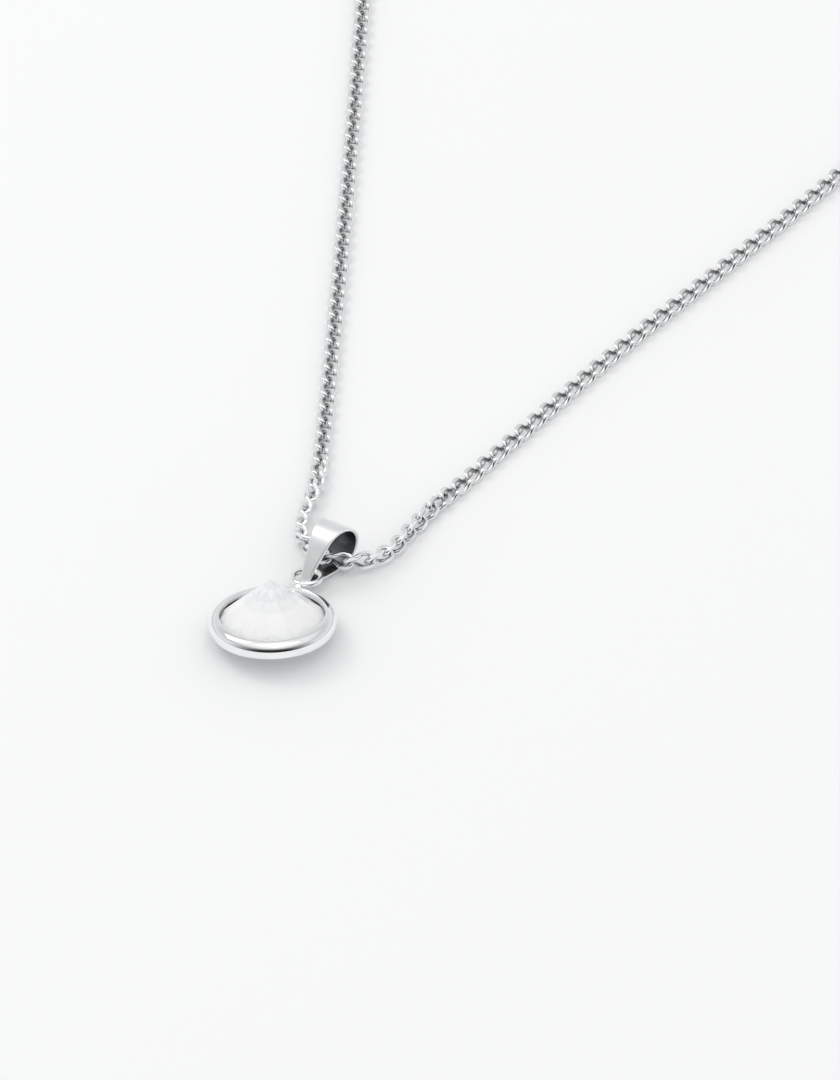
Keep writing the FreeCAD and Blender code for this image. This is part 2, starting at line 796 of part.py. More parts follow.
# ---------------------------------------------------------------- the whole necklace

make_base_plate()
make_bezel_rim()
make_stone()
make_eyelet()
make_bail()

link_shape = make_link_shape()
last_left = CENTRE_LEFT + SECTIONS * LINKS_PER_SECTION
last_right = CENTRE_RIGHT + SECTIONS * LINKS_PER_SECTION
chain_lie = Lie(link_shape, last_left, last_right)
make_chain(link_shape, chain_lie)
make_plain_end(strand_end(chain_lie, -last_left, -last_left + 1))
make_clasp_end(strand_end(chain_lie, last_right, last_right - 1))

doc.recompute()

for obj in doc.Objects:
    if "Invalid" in obj.State or "Error" in obj.State:
        raise RuntimeError("%s is %s" % (obj.Name, obj.State))
for node in nodes:
    if node.Shape.isNull() or not node.Shape.isValid():
        raise RuntimeError("%s has no valid shape" % node.Label)

os.makedirs("parts", exist_ok=True)
for node in nodes:
    node.Shape.exportStep("parts/%s.step" % node.Label)
print("%d nodes, surface at z = %.4f mm" % (len(nodes), SURFACE_Z))
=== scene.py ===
"""Pendant necklace in polished silver: the looks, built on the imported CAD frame.

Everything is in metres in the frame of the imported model. Sizes are in millimetres where
their names end in _MM or _mm, and are turned into metres where the meshes are made.
"""

import json
import math

import bmesh
import bpy
import numpy as np
from mathutils import Matrix, Vector


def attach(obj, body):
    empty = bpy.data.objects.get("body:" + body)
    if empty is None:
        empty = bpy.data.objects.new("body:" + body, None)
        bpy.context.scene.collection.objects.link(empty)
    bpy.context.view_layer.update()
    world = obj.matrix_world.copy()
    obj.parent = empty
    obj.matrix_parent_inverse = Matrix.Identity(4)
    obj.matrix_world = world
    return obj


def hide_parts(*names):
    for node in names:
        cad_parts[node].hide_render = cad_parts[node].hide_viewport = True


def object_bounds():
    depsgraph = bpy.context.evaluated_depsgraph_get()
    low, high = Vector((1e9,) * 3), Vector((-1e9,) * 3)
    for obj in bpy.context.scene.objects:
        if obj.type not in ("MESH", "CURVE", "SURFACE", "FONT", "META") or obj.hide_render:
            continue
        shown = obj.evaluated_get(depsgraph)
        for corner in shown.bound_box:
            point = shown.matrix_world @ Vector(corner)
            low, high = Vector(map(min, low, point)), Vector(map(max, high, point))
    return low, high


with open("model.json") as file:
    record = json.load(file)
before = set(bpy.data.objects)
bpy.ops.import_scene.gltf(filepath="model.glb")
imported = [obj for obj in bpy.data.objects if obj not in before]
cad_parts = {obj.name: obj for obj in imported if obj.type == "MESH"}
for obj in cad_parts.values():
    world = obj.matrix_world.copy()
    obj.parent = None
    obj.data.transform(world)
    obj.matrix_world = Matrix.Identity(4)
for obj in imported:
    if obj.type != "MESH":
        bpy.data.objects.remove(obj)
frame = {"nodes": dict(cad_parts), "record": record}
CAD_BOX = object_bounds()
MM = 0.001

# ---------------------------------------------------------------- the link's shape

LINK_HALF_LENGTH_MM = 1.70
LINK_HALF_WIDTH_MM = 0.70
LINK_END_TWIST = math.radians(45)
LINK_SIDE_TWIST = math.radians(55)
LINK_WIRE_MM = 0.30
LINK_HALF_THICK_MM = 0.60
LINK_ARC_STEPS = 9
LINK_ROUND_STEPS = 20
FLAT_EDGE_MM = 0.035
# Where the painted shade in the link's hole begins around the wire, and how fast it deepens.
HOLLOW_SHADE_EDGE = 0.25
HOLLOW_SHADE_GAIN = 1.25


def tangent_joint(p0, t0, p1, t1):
    """Corner points of two arcs that join p0 and p1 along the directions t0 and t1."""
    gap = p1 - p0
    both = t0 + t1
    a = both.dot(both) - 4
    b = -2 * gap.dot(both)
    c = gap.dot(gap)
    root = math.sqrt(b * b - 4 * a * c)
    reach = min(x for x in ((-b - root) / (2 * a), (-b + root) / (2 * a)) if x > 0)
    q0 = p0 + t0 * reach
    q1 = p1 - t1 * reach
    return [p0, q0, (q0 + q1) * 0.5, q1, p1]


def arc_points(start, corner, end, steps):
    """Points on the arc that rounds a corner, with its tangents, the end left out."""
    before = (corner - start).normalized()
    after = (end - corner).normalized()
    angle = before.angle(after)
    radius = (corner - start).length / math.tan(angle / 2)
    inward = (after - before * before.dot(after)).normalized()
    centre = start + inward * radius
    result = []
    for i in range(steps):
        turn = angle * i / steps
        out = -inward * math.cos(turn) + before * math.sin(turn)
        way = before * math.cos(turn) + inward * math.sin(turn)
        result.append((centre + out * radius, way))
    return result


def link_route():
    """The link's centre line: eight tangent arcs, one quarter repeated by half turns."""
    end = Vector((LINK_HALF_LENGTH_MM, 0, 0))
    side = Vector((0, LINK_HALF_WIDTH_MM, 0))
    end_way = Vector((0, math.cos(LINK_END_TWIST), -math.sin(LINK_END_TWIST)))
    side_way = Vector((-math.cos(LINK_SIDE_TWIST), 0, math.sin(LINK_SIDE_TWIST)))
    first = tangent_joint(end, end_way, side, side_way)
    second = [Vector((-p.x, p.y, -p.z)) for p in reversed(first)][1:]
    third = [Vector((-p.x, -p.y, p.z)) for p in first][1:]
    fourth = [Vector((p.x, -p.y, -p.z)) for p in reversed(first)][1:]
    corners = first + second + third + fourth
    route = []
    for i in range(0, len(corners) - 1, 2):
        route += arc_points(corners[i], corners[i + 1], corners[i + 2], LINK_ARC_STEPS)
    return route


def soft_flat(height):
    """Height on the link's skin after the flats are ground, with a small rolled edge."""
    over = abs(height) - (LINK_HALF_THICK_MM - FLAT_EDGE_MM)
    if over <= 0:
        return height
    pressed = LINK_HALF_THICK_MM - FLAT_EDGE_MM * math.exp(-over / FLAT_EDGE_MM)
    return math.copysign(pressed, height)


def hollow_shade_share(angle):
    """How far a place around the wire faces into the link's hole, from 0 to 1: its share of painted
    shade.
    """
    return min(max(-HOLLOW_SHADE_EDGE - HOLLOW_SHADE_GAIN * math.cos(angle), 0.0), 1.0)


def link_mesh_data():
    """One link in its own frame, in millimetres: vertices, quads and hollow shares.

    The silver facing into the link's hole gets painted shade by these shares, darker the further it
    faces in.
    """
    route = link_route()
    count = len(route)
    verts = []
    hollow = []
    for point, way in route:
        across = way.cross(Vector((0, 0, 1))).normalized()
        up = across.cross(way)
        for j in range(LINK_ROUND_STEPS):
            angle = 2 * math.pi * j / LINK_ROUND_STEPS
            skin = point + (across * math.cos(angle) + up * math.sin(angle)) * LINK_WIRE_MM
            verts.append((skin.x, skin.y, soft_flat(skin.z)))
            hollow.append(hollow_shade_share(angle))
    faces = []
    for i in range(count):
        for j in range(LINK_ROUND_STEPS):
            k = (j + 1) % LINK_ROUND_STEPS
            n = (i + 1) % count
            faces.append((
                i * LINK_ROUND_STEPS + j,
                i * LINK_ROUND_STEPS + k,
                n * LINK_ROUND_STEPS + k,
                n * LINK_ROUND_STEPS + j,
            ))
    return np.array(verts), faces, np.array(hollow)


LINK_VERTS, LINK_FACES, LINK_HOLLOW_SHADE = link_mesh_data()

# ---------------------------------------------------------------- materials

# The part of the noise's 0..1 range that it mostly keeps to.
NOISE_LOW = 0.3
NOISE_HIGH = 0.7

# Clouds, smears, marks, grain and cells are pattern scales, in cycles per millimetre.
SILVER_LOW = (0.885, 0.895, 0.91, 1)
SILVER_HIGH = (0.94, 0.945, 0.95, 1)
SILVER_CLOUDS = 0.5
SILVER_SMEARS = 6.0
SILVER_SMEAR_DETAIL = 5.0
SILVER_MARKS = 14.0
SILVER_MARK_DETAIL = 2.0
SILVER_MARK_MM = 0.002
SILVER_MARK_STRENGTH = 0.25
STEEL_LOW = (0.50, 0.51, 0.53, 1)
STEEL_HIGH = (0.62, 0.63, 0.65, 1)
STEEL_CLOUDS = 3.0
STEEL_GRAIN = 9.0
STEEL_GRAIN_DETAIL = 4.0
STEEL_GRAIN_STRETCH = (1, 1, 8)
# The stone's base colour carries painted facet reflections: folded cells between these two tones.
STONE_LOW = (0.87, 0.90, 0.915, 1)
STONE_HIGH = (1.0, 1.0, 1.0, 1)
STONE_REFLECTION_CELLS = 0.75
STONE_REFLECTION_RANDOMNESS = 0.8
STONE_REFLECTION_FOLDS = 8

# Sockets of a Mix node that is set to mix colours.
FIRST_COLOUR = 6
SECOND_COLOUR = 7
MIXED_COLOUR = 2


class Nodes:
    """A short way to build a node material."""

    def __init__(self, name):
        self.material = bpy.data.materials.new(name)
        self.material.use_nodes = True
        self.tree = self.material.node_tree
        self.shader = self.tree.nodes["Principled BSDF"]

    def add(self, kind, **settings):
        node = self.tree.nodes.new(kind)
        for key, value in settings.items():
            setattr(node, key, value)
        return node

    def link(self, source, target):
        self.tree.links.new(source, target)

    def set(self, **values):
        for key, value in values.items():
            self.shader.inputs[key.replace("_", " ")].default_value = value

    def noise(self, scale, detail=3.0, stretch=None):
        """Noise in the object's own coordinates. The scale is in cycles per millimetre."""
        coords = self.add("ShaderNodeTexCoord").outputs["Object"]
        if stretch is not None:
            mapping = self.add("ShaderNodeMapping")
            mapping.inputs["Scale"].default_value = stretch
            self.link(coords, mapping.inputs["Vector"])
            coords = mapping.outputs["Vector"]
        noise = self.add("ShaderNodeTexNoise")
        noise.inputs["Scale"].default_value = scale / MM
        noise.inputs["Detail"].default_value = detail
        self.link(coords, noise.inputs["Vector"])
        return noise.outputs["Fac"]

    def spread(self, value, low, high):
        """Map a noise value to low..high."""
        node = self.add("ShaderNodeMapRange")
        node.inputs["From Min"].default_value = NOISE_LOW
        node.inputs["From Max"].default_value = NOISE_HIGH
        node.inputs["To Min"].default_value = low
        node.inputs["To Max"].default_value = high
        self.link(value, node.inputs["Value"])
        return node.outputs["Result"]

    def tint(self, value, low, high):
        """Blend between two colours by a noise value."""
        node = self.add("ShaderNodeValToRGB")
        node.color_ramp.elements[0].position = NOISE_LOW
        node.color_ramp.elements[0].color = low
        node.color_ramp.elements[1].position = NOISE_HIGH
        node.color_ramp.elements[1].color = high
        self.link(value, node.inputs["Fac"])
        return node.outputs["Color"]

    def bump(self, value, distance_mm, strength):
        node = self.add("ShaderNodeBump")
        node.inputs["Strength"].default_value = strength
        node.inputs["Distance"].default_value = distance_mm * MM
        self.link(value, node.inputs["Height"])
        self.link(node.outputs["Normal"], self.shader.inputs["Normal"])


def polished_silver(name, rough_low, rough_high, shade_attribute=None, dark=0.0):
    """Polished silver with faint tumbling marks and a little tone variation.

    Where the mesh attribute named as the fourth argument is 1, painted shade darkens the silver to the
    grey given as dark.
    """
    nodes = Nodes(name)
    nodes.set(Metallic=1.0)
    tone = nodes.tint(nodes.noise(SILVER_CLOUDS), SILVER_LOW, SILVER_HIGH)
    # Painted shade, blended into the base colour by the named mesh attribute.
    if shade_attribute:
        share = nodes.add("ShaderNodeAttribute", attribute_name=shade_attribute).outputs["Fac"]
        mix = nodes.add("ShaderNodeMix", data_type="RGBA")
        nodes.link(share, mix.inputs["Factor"])
        nodes.link(tone, mix.inputs[FIRST_COLOUR])
        mix.inputs[SECOND_COLOUR].default_value = (dark, dark * 1.02, dark * 1.05, 1)
        tone = mix.outputs[MIXED_COLOUR]
    nodes.link(tone, nodes.shader.inputs["Base Color"])
    smears = nodes.noise(SILVER_SMEARS, SILVER_SMEAR_DETAIL)
    nodes.link(nodes.spread(smears, rough_low, rough_high), nodes.shader.inputs["Roughness"])
    marks = nodes.noise(SILVER_MARKS, SILVER_MARK_DETAIL)
    nodes.bump(marks, SILVER_MARK_MM, SILVER_MARK_STRENGTH)
    return nodes.material


def drawn_steel(name):
    """Spring steel with fine drawing marks."""
    nodes = Nodes(name)
    nodes.set(Metallic=1.0)
    tone = nodes.tint(nodes.noise(STEEL_CLOUDS), STEEL_LOW, STEEL_HIGH)
    nodes.link(tone, nodes.shader.inputs["Base Color"])
    grain = nodes.noise(STEEL_GRAIN, STEEL_GRAIN_DETAIL, STEEL_GRAIN_STRETCH)
    nodes.link(nodes.spread(grain, 0.22, 0.36), nodes.shader.inputs["Roughness"])
    return nodes.material


def clear_stone(name, turn):
    """Colourless crystal, nearly white, with painted facet reflections: pale tones that repeat around
    its axis.
    """
    nodes = Nodes(name)
    nodes.set(IOR=1.5)
    nodes.set(Transmission_Weight=0.12)
    nodes.set(Roughness=0.04)
    upright = nodes.add("ShaderNodeMapping")
    upright.inputs["Rotation"].default_value = turn.inverted().to_euler()
    nodes.link(nodes.add("ShaderNodeTexCoord").outputs["Object"], upright.inputs["Vector"])
    split = nodes.add("ShaderNodeSeparateXYZ")
    nodes.link(upright.outputs["Vector"], split.inputs[0])

    def maths(operation, first, second=None):
        node = nodes.add("ShaderNodeMath", operation=operation)
        for slot, value in enumerate((first, second)):
            if isinstance(value, float):
                node.inputs[slot].default_value = value
            elif value is not None:
                nodes.link(value, node.inputs[slot])
        return node.outputs["Value"]

    x = split.outputs["X"]
    y = split.outputs["Y"]
    radius = maths("SQRT", maths("ADD", maths("MULTIPLY", x, x), maths("MULTIPLY", y, y)))
    folded = maths("PINGPONG", maths("ARCTAN2", y, x), math.pi / STONE_REFLECTION_FOLDS)
    join = nodes.add("ShaderNodeCombineXYZ")
    nodes.link(maths("MULTIPLY", radius, maths("COSINE", folded)), join.inputs["X"])
    nodes.link(maths("MULTIPLY", radius, maths("SINE", folded)), join.inputs["Y"])
    # Painted facet reflections: folded Voronoi cells tint the base colour.
    cells = nodes.add("ShaderNodeTexVoronoi")
    cells.inputs["Scale"].default_value = STONE_REFLECTION_CELLS / MM
    cells.inputs["Randomness"].default_value = STONE_REFLECTION_RANDOMNESS
    nodes.link(join.outputs["Vector"], cells.inputs["Vector"])
    tone = nodes.tint(cells.outputs["Color"], STONE_LOW, STONE_HIGH)
    nodes.link(tone, nodes.shader.inputs["Base Color"])
    return nodes.material


PENDANT_PITCH = math.radians(-10.7)
PENDANT_ROLL = math.radians(-1.5)
PENDANT_TURN = Matrix.Rotation(PENDANT_PITCH, 3, "X") @ Matrix.Rotation(PENDANT_ROLL, 3, "Y")
SETTING_SILVER = polished_silver("setting_silver", 0.05, 0.10)
# The bail's inside and the links' holes get painted shade, darkened towards greys of 0.13 and 0.34.
BAIL_SILVER = polished_silver("bail_silver", 0.27, 0.31, "inside", 0.13)
CHAIN_SILVER = polished_silver("chain_silver", 0.14, 0.22, "hollow", 0.34)
CLASP_SILVER = polished_silver("clasp_silver", 0.07, 0.13)
SPRING_STEEL = drawn_steel("spring_steel")
CLEAR_STONE = clear_stone("clear_stone", PENDANT_TURN)


def paint(obj, material):
    """Give an object one material in every slot it has."""
    if not obj.material_slots:
        obj.data.materials.append(material)
    for slot in obj.material_slots:
        slot.material = material


def make_piece(name, verts, faces, material, body, node):
    """A smooth mesh piece that rides on a body and stands for a CAD node."""
    mesh = bpy.data.meshes.new(name)
    mesh.from_pydata([tuple(v) for v in verts], [], faces)
    mesh.validate()
    outside = bmesh.new()
    outside.from_mesh(mesh)
    bmesh.ops.recalc_face_normals(outside, faces=outside.faces)
    outside.to_mesh(mesh)
    outside.free()
    for polygon in mesh.polygons:
        polygon.use_smooth = True
    obj = bpy.data.objects.new(name, mesh)
    bpy.context.scene.collection.objects.link(obj)
    mesh.materials.append(material)
    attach(obj, body)
    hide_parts(node)
    return obj


def add_shares(piece, name, values):
    """Store one number for each vertex of a piece, for its material to read."""
    piece.data.attributes.new(name, "FLOAT", "POINT").data.foreach_set("value", values)


def body_of(node):
    """The body that carries a CAD node."""
    for body, names in frame["record"]["behaviour"]["bodies"].items():
        if node in names:
            return body
    raise ValueError(node)


# ---------------------------------------------------------------- chain


def read_mesh(mesh):
    """Vertex places, and the corner numbers of the mesh's edges and triangles."""
    mesh.calc_loop_triangles()
    coords = np.empty(3 * len(mesh.vertices))
    mesh.vertices.foreach_get("co", coords)
    edges = np.empty(2 * len(mesh.edges), dtype=np.int64)
    mesh.edges.foreach_get("vertices", edges)
    triangles = np.empty(3 * len(mesh.loop_triangles), dtype=np.int64)
    mesh.loop_triangles.foreach_get("vertices", triangles)
    return coords.reshape(-1, 3), edges.reshape(-1, 2), triangles.reshape(-1, 3)


def solid_numbers(coords, edges):
    """For each vertex, the number of the separate solid that it belongs to."""
    spots, where = np.unique(np.round(coords, 8), axis=0, return_inverse=True)
    where = where.ravel()
    ends = where[edges]
    label = np.arange(len(spots))
    while True:
        lowest = label[ends].min(axis=1)
        spread = label.copy()
        np.minimum.at(spread, ends[:, 0], lowest)
        np.minimum.at(spread, ends[:, 1], lowest)
        spread = spread[spread]
        if np.array_equal(spread, label):
            break
        label = spread
    return np.unique(label[where], return_inverse=True)[1].ravel()


def solid_frames(coords, triangles, solid_of):
    """Centre and turn of each solid, from the spread of its surface.

    A link looks the same after a half turn about any of its axes, so the axes of its
    spread are its own axes, and their signs don't matter as long as they are right-handed.
    """
    corners = coords[triangles]
    sides = np.cross(corners[:, 1] - corners[:, 0], corners[:, 2] - corners[:, 0])
    areas = 0.5 * np.linalg.norm(sides, axis=1)
    owners = solid_of[triangles[:, 0]]
    middles = corners.mean(axis=1)
    products = np.einsum("nci,ncj->nij", corners, corners)
    products = products + 9 * np.einsum("ni,nj->nij", middles, middles)
    frames = []
    for number in range(solid_of.max() + 1):
        mine = owners == number
        area = areas[mine]
        centre = area @ middles[mine] / area.sum()
        spread = np.tensordot(area, products[mine], 1) / (12 * area.sum())
        spread = spread - np.outer(centre, centre)
        axes = np.linalg.eigh(spread)[1]
        turn = np.column_stack([axes[:, 2], axes[:, 1], axes[:, 0]])
        if np.linalg.det(turn) < 0:
            turn[:, 1] = -turn[:, 1]
        frames.append((centre, turn))
    return frames


def build_chain_section(node):
    """Finely made links in place of one section's CAD links."""
    coords, edges, triangles = read_mesh(frame["nodes"][node].data)
    frames = solid_frames(coords, triangles, solid_numbers(coords, edges))
    verts = np.vstack([LINK_VERTS @ turn.T * MM + centre for centre, turn in frames])
    size = len(LINK_VERTS)
    faces = [tuple(k * size + i for i in face) for k in range(len(frames)) for face in LINK_FACES]
    name = node + "_links"
    piece = make_piece(name, verts, faces, CHAIN_SILVER, body_of(node), node)
    # Painted shade: the hollow shares darken the silver facing into each link's hole.
    add_shares(piece, "hollow", np.tile(LINK_HOLLOW_SHADE, len(frames)))


for node in sorted(frame["nodes"]):
    if node.startswith("chain_"):
        build_chain_section(node)

# ---------------------------------------------------------------- setting

LATHE_STEPS = 240

PLATE_EDGE_STEPS = 6
PLATE_RADIUS_MM = 7.2
PLATE_THICK_MM = 0.75
PLATE_LOW_EDGE_MM = 0.2
PLATE_TOP_EDGE_MM = 0.06
PLATE_HUB_MM = 0.4
RECESS_RADIUS_MM = 6.2
RECESS_FLOOR_MM = 0.35
RECESS_EDGE_MM = 0.04
RECESS_CORNER_MM = 0.08
RIM_MID_MM = 6.31
RIM_BEAD_MM = 1.10
RIM_BEAD_HEIGHT_MM = 0.15
RIM_SEAT_MM = 6.42
RIM_SEAT_TOP_MM = 1.25
RIM_LIP_MM = 6.12
RIM_LIP_LOW_MM = 1.424
RIM_FOOT_EDGE_MM = 0.02
RIM_EDGE_MM = 0.03
RIM_EDGE_STEPS = 4
RIM_BEAD_STEPS = 48


def rounded(corners, steps):
    """An outline with its corners rounded. Each corner is (x, y, radius)."""
    result = []
    count = len(corners)
    for i, (x, y, radius) in enumerate(corners):
        here = Vector((x, y))
        if radius == 0:
            result.append(here)
            continue
        before = (Vector(corners[i - 1][:2]) - here).normalized()
        after = (Vector(corners[(i + 1) % count][:2]) - here).normalized()
        half = before.angle(after) / 2
        start = here + before * (radius / math.tan(half))
        centre = here + (before + after).normalized() * (radius / math.sin(half))
        arm = start - centre
        sweep = math.pi - 2 * half
        sign = 1 if before.cross(after) < 0 else -1
        for k in range(steps + 1):
            turn = Matrix.Rotation(sign * sweep * k / steps, 2)
            result.append(centre + turn @ arm)
    return result


def lathe(outline, closed):
    """Revolve an outline of (radius, height) points about Z.

    An outline that isn't closed gets a flat face across each of its two ends.
    """
    verts = []
    faces = []
    rows = len(outline)
    for i in range(LATHE_STEPS):
        angle = 2 * math.pi * i / LATHE_STEPS
        for radius, height in outline:
            verts.append((radius * math.cos(angle), radius * math.sin(angle), height))
    for i in range(LATHE_STEPS):
        n = (i + 1) % LATHE_STEPS
        for j in range(rows if closed else rows - 1):
            k = (j + 1) % rows
            faces.append((i * rows + j, n * rows + j, n * rows + k, i * rows + k))
    if not closed:
        faces.append(tuple(i * rows for i in reversed(range(LATHE_STEPS))))
        faces.append(tuple(i * rows + rows - 1 for i in range(LATHE_STEPS)))
    return verts, faces


def placed(verts, turn, place_mm=(0, 0, 0)):
    """Turn and move points given in millimetres, and give them in metres."""
    return [(turn @ Vector(v) + Vector(place_mm)) * MM for v in verts]


def build_turned(name, outline, steps, closed, node):
    """A turned piece of the pendant, from its outline with rounded corners."""
    points = [(p.x, p.y) for p in rounded(outline, steps)]
    verts, faces = lathe(points, closed)
    verts = placed(verts, PENDANT_TURN)
    make_piece(name, verts, faces, SETTING_SILVER, "pendant", node)


def build_rim():
    """The rim: a rounded bead outside, and inside it a seat and a lip for the stone."""
    foot = RIM_MID_MM + math.sqrt(RIM_BEAD_MM ** 2 - RIM_BEAD_HEIGHT_MM ** 2)
    bead_z = PLATE_THICK_MM + RIM_BEAD_HEIGHT_MM
    start = math.atan2(PLATE_THICK_MM - bead_z, foot - RIM_MID_MM)
    end = math.acos((RIM_LIP_MM - RIM_MID_MM) / RIM_BEAD_MM)

    def bead_point(step, edge):
        angle = start + (end - start) * step / RIM_BEAD_STEPS
        return (RIM_MID_MM + RIM_BEAD_MM * math.cos(angle), bead_z + RIM_BEAD_MM * math.sin(angle), edge)

    # The step before the crest is left out, to make room for the crest's rounding.
    outline = [(foot, PLATE_THICK_MM, RIM_FOOT_EDGE_MM)]
    outline += [bead_point(k, 0) for k in range(1, RIM_BEAD_STEPS - 1)]
    outline += [
        bead_point(RIM_BEAD_STEPS, RIM_EDGE_MM),
        (RIM_LIP_MM, RIM_LIP_LOW_MM, RIM_EDGE_MM),
        (RIM_SEAT_MM, RIM_SEAT_TOP_MM, RIM_EDGE_MM),
        (RIM_SEAT_MM, PLATE_THICK_MM, RIM_EDGE_MM),
    ]
    build_turned("rim_bead", outline, RIM_EDGE_STEPS, True, "bezel_rim")


def build_plate():
    """The plate under the stone, with a shallow recess that the stone sits in."""
    outline = [
        (PLATE_HUB_MM, 0.0, 0),
        (PLATE_RADIUS_MM, 0.0, PLATE_LOW_EDGE_MM),
        (PLATE_RADIUS_MM, PLATE_THICK_MM, PLATE_TOP_EDGE_MM),
        (RECESS_RADIUS_MM, PLATE_THICK_MM, RECESS_EDGE_MM),
        (RECESS_RADIUS_MM, RECESS_FLOOR_MM, RECESS_CORNER_MM),
        (PLATE_HUB_MM, RECESS_FLOOR_MM, 0),
    ]
    build_turned("back_plate", outline, PLATE_EDGE_STEPS, False, "base_plate")


# ---------------------------------------------------------------- bail

BAIL_PLACE_MM = (3.89, 8.70, 1.324)
BAIL_BEARING = math.radians(55.5)
BAIL_PITCH = math.radians(20.6)
BAIL_ROLL = math.radians(-2.5)
BAIL_STRIP_MM = 0.42
BAIL_NEAR_MM = 0.48
BAIL_FAR_MM = 2.79
BAIL_LENGTH_MM = 4.96
BAIL_NEAR_WIDTH_MM = 1.0
BAIL_FAR_WIDTH_MM = 4.08
BAIL_EDGE_MM = 0.11
BAIL_EDGE_STEPS = 4
BAIL_FLAT_STEPS = 6
BAIL_BOW_MM = 0.08
BAIL_NEAR_STEPS = 22
BAIL_LEG_STEPS = 42
BAIL_FAR_STEPS = 110
BAIL_EASING = 30
BAIL_EASING_FROM_MM = 1.0
BAIL_INSIDE_MARGIN_MM = 0.02


def bail_line():
    """The strip's middle line, as points with their outward directions.

    Two arcs and two straight legs, with the legs bowed a little and the bends eased so
    that the polished strip has no kink where a leg meets the wide arc.
    """
    tilt = math.asin((BAIL_FAR_MM - BAIL_NEAR_MM) / BAIL_LENGTH_MM)
    line = []

    def arc(centre_x, radius, first, last, steps):
        for k in range(steps + 1):
            angle = first + (last - first) * k / steps
            line.append(Vector((centre_x + radius * math.cos(angle), radius * math.sin(angle))))

    def leg(end, out):
        start = line[-1]
        for k in range(1, BAIL_LEG_STEPS):
            share = k / BAIL_LEG_STEPS
            line.append(start.lerp(end, share) + out * BAIL_BOW_MM * math.sin(math.pi * share))

    quarter = math.pi / 2
    lower = Vector((math.cos(-quarter - tilt), math.sin(-quarter - tilt)))
    upper = Vector((lower.x, -lower.y))
    arc(0.0, BAIL_NEAR_MM, quarter + tilt, 3 * quarter - tilt, BAIL_NEAR_STEPS)
    leg(Vector((BAIL_LENGTH_MM, 0)) + lower * BAIL_FAR_MM, lower)
    arc(BAIL_LENGTH_MM, BAIL_FAR_MM, -quarter - tilt, quarter + tilt, BAIL_FAR_STEPS)
    leg(upper * BAIL_NEAR_MM, upper)
    count = len(line)
    for _ in range(BAIL_EASING):
        eased = []
        for i, point in enumerate(line):
            share = min(max(point.x - BAIL_EASING_FROM_MM, 0.0), 1.0) * 0.5
            middle = (line[i - 1] + line[(i + 1) % count]) * 0.5
            eased.append(point.lerp(middle, share))
        line = eased
    result = []
    for i, point in enumerate(line):
        way = line[(i + 1) % count] - line[i - 1]
        result.append((point, Vector((way.y, -way.x)).normalized()))
    return result


def bail_section():
    """Rounded section of the strip: (offset in mm, share of the half width, edge in mm)."""
    half = BAIL_STRIP_MM / 2
    section = []
    for side, first in ((1, 0), (-1, 2)):
        for corner in (first, first + 1):
            turn = corner * math.pi / 2
            offset = half - BAIL_EDGE_MM
            offset = offset if corner in (0, 3) else -offset
            for k in range(BAIL_EDGE_STEPS + 1):
                angle = turn + math.pi / 2 * k / BAIL_EDGE_STEPS
                across = offset + BAIL_EDGE_MM * math.cos(angle)
                section.append((across, side, BAIL_EDGE_MM * (1 - side * math.sin(angle))))
        for k in range(1, BAIL_FLAT_STEPS):
            section.append((-side * half, side * (1 - 2 * k / BAIL_FLAT_STEPS), 0.0))
    return section


def build_bail():
    """The strip swept along its line, wider towards the far end, with painted shade on its inside."""
    near_end = -(BAIL_NEAR_MM + BAIL_STRIP_MM)
    far_end = BAIL_LENGTH_MM + BAIL_FAR_MM + BAIL_STRIP_MM
    inner_skin = -0.5 * BAIL_STRIP_MM + BAIL_INSIDE_MARGIN_MM
    section = bail_section()
    verts = []
    inside = []
    for point, out in bail_line():
        for offset, share, edge in section:
            # Painted shade: the strip's inner skin gets 1, and its silver is darkened there.
            inside.append(1.0 if offset < inner_skin else 0.0)
            spot = point + out * offset
            reach = (spot.x - near_end) / (far_end - near_end)
            width = BAIL_NEAR_WIDTH_MM + (BAIL_FAR_WIDTH_MM - BAIL_NEAR_WIDTH_MM) * reach
            inset = math.copysign(edge, share) if edge else 0.0
            verts.append((spot.x, share * (0.5 * width) - inset, spot.y))
    rows = len(section)
    rings = len(verts) // rows
    faces = []
    for i in range(rings):
        n = (i + 1) % rings
        for j in range(rows):
            k = (j + 1) % rows
            faces.append((i * rows + j, i * rows + k, n * rows + k, n * rows + j))
    turn = (
        Matrix.Rotation(BAIL_BEARING, 3, "Z")
        @ Matrix.Rotation(-BAIL_PITCH, 3, "Y")
        @ Matrix.Rotation(BAIL_ROLL, 3, "X")
    )
    place = Vector(BAIL_PLACE_MM) + Vector((0, 0, CAD_BOX[0][2] / MM))
    verts = placed(verts, turn, place)
    piece = make_piece("bail_strip", verts, faces, BAIL_SILVER, "bail", "bail")
    add_shares(piece, "inside", inside)


build_rim()
build_plate()
build_bail()

# ---------------------------------------------------------------- clasp

EASED_EDGE_MM = 0.16
EASED_STEPS = 3
LEVEL_MM = 0.01
LEVEL_NORMAL = 0.999
SAME_SPOT_MM = 0.0001
SAME_PLANE = math.radians(1)
SHARP_EDGE = math.radians(40)


def is_outer_edge(edge, low, high):
    """True for a sharp convex edge of the flat top or bottom face."""
    if not edge.is_convex or edge.calc_face_angle(0) < SHARP_EDGE:
        return False
    heights = [vertex.co.z for vertex in edge.verts]
    return min(heights) > high - LEVEL_MM * MM or max(heights) < low + LEVEL_MM * MM


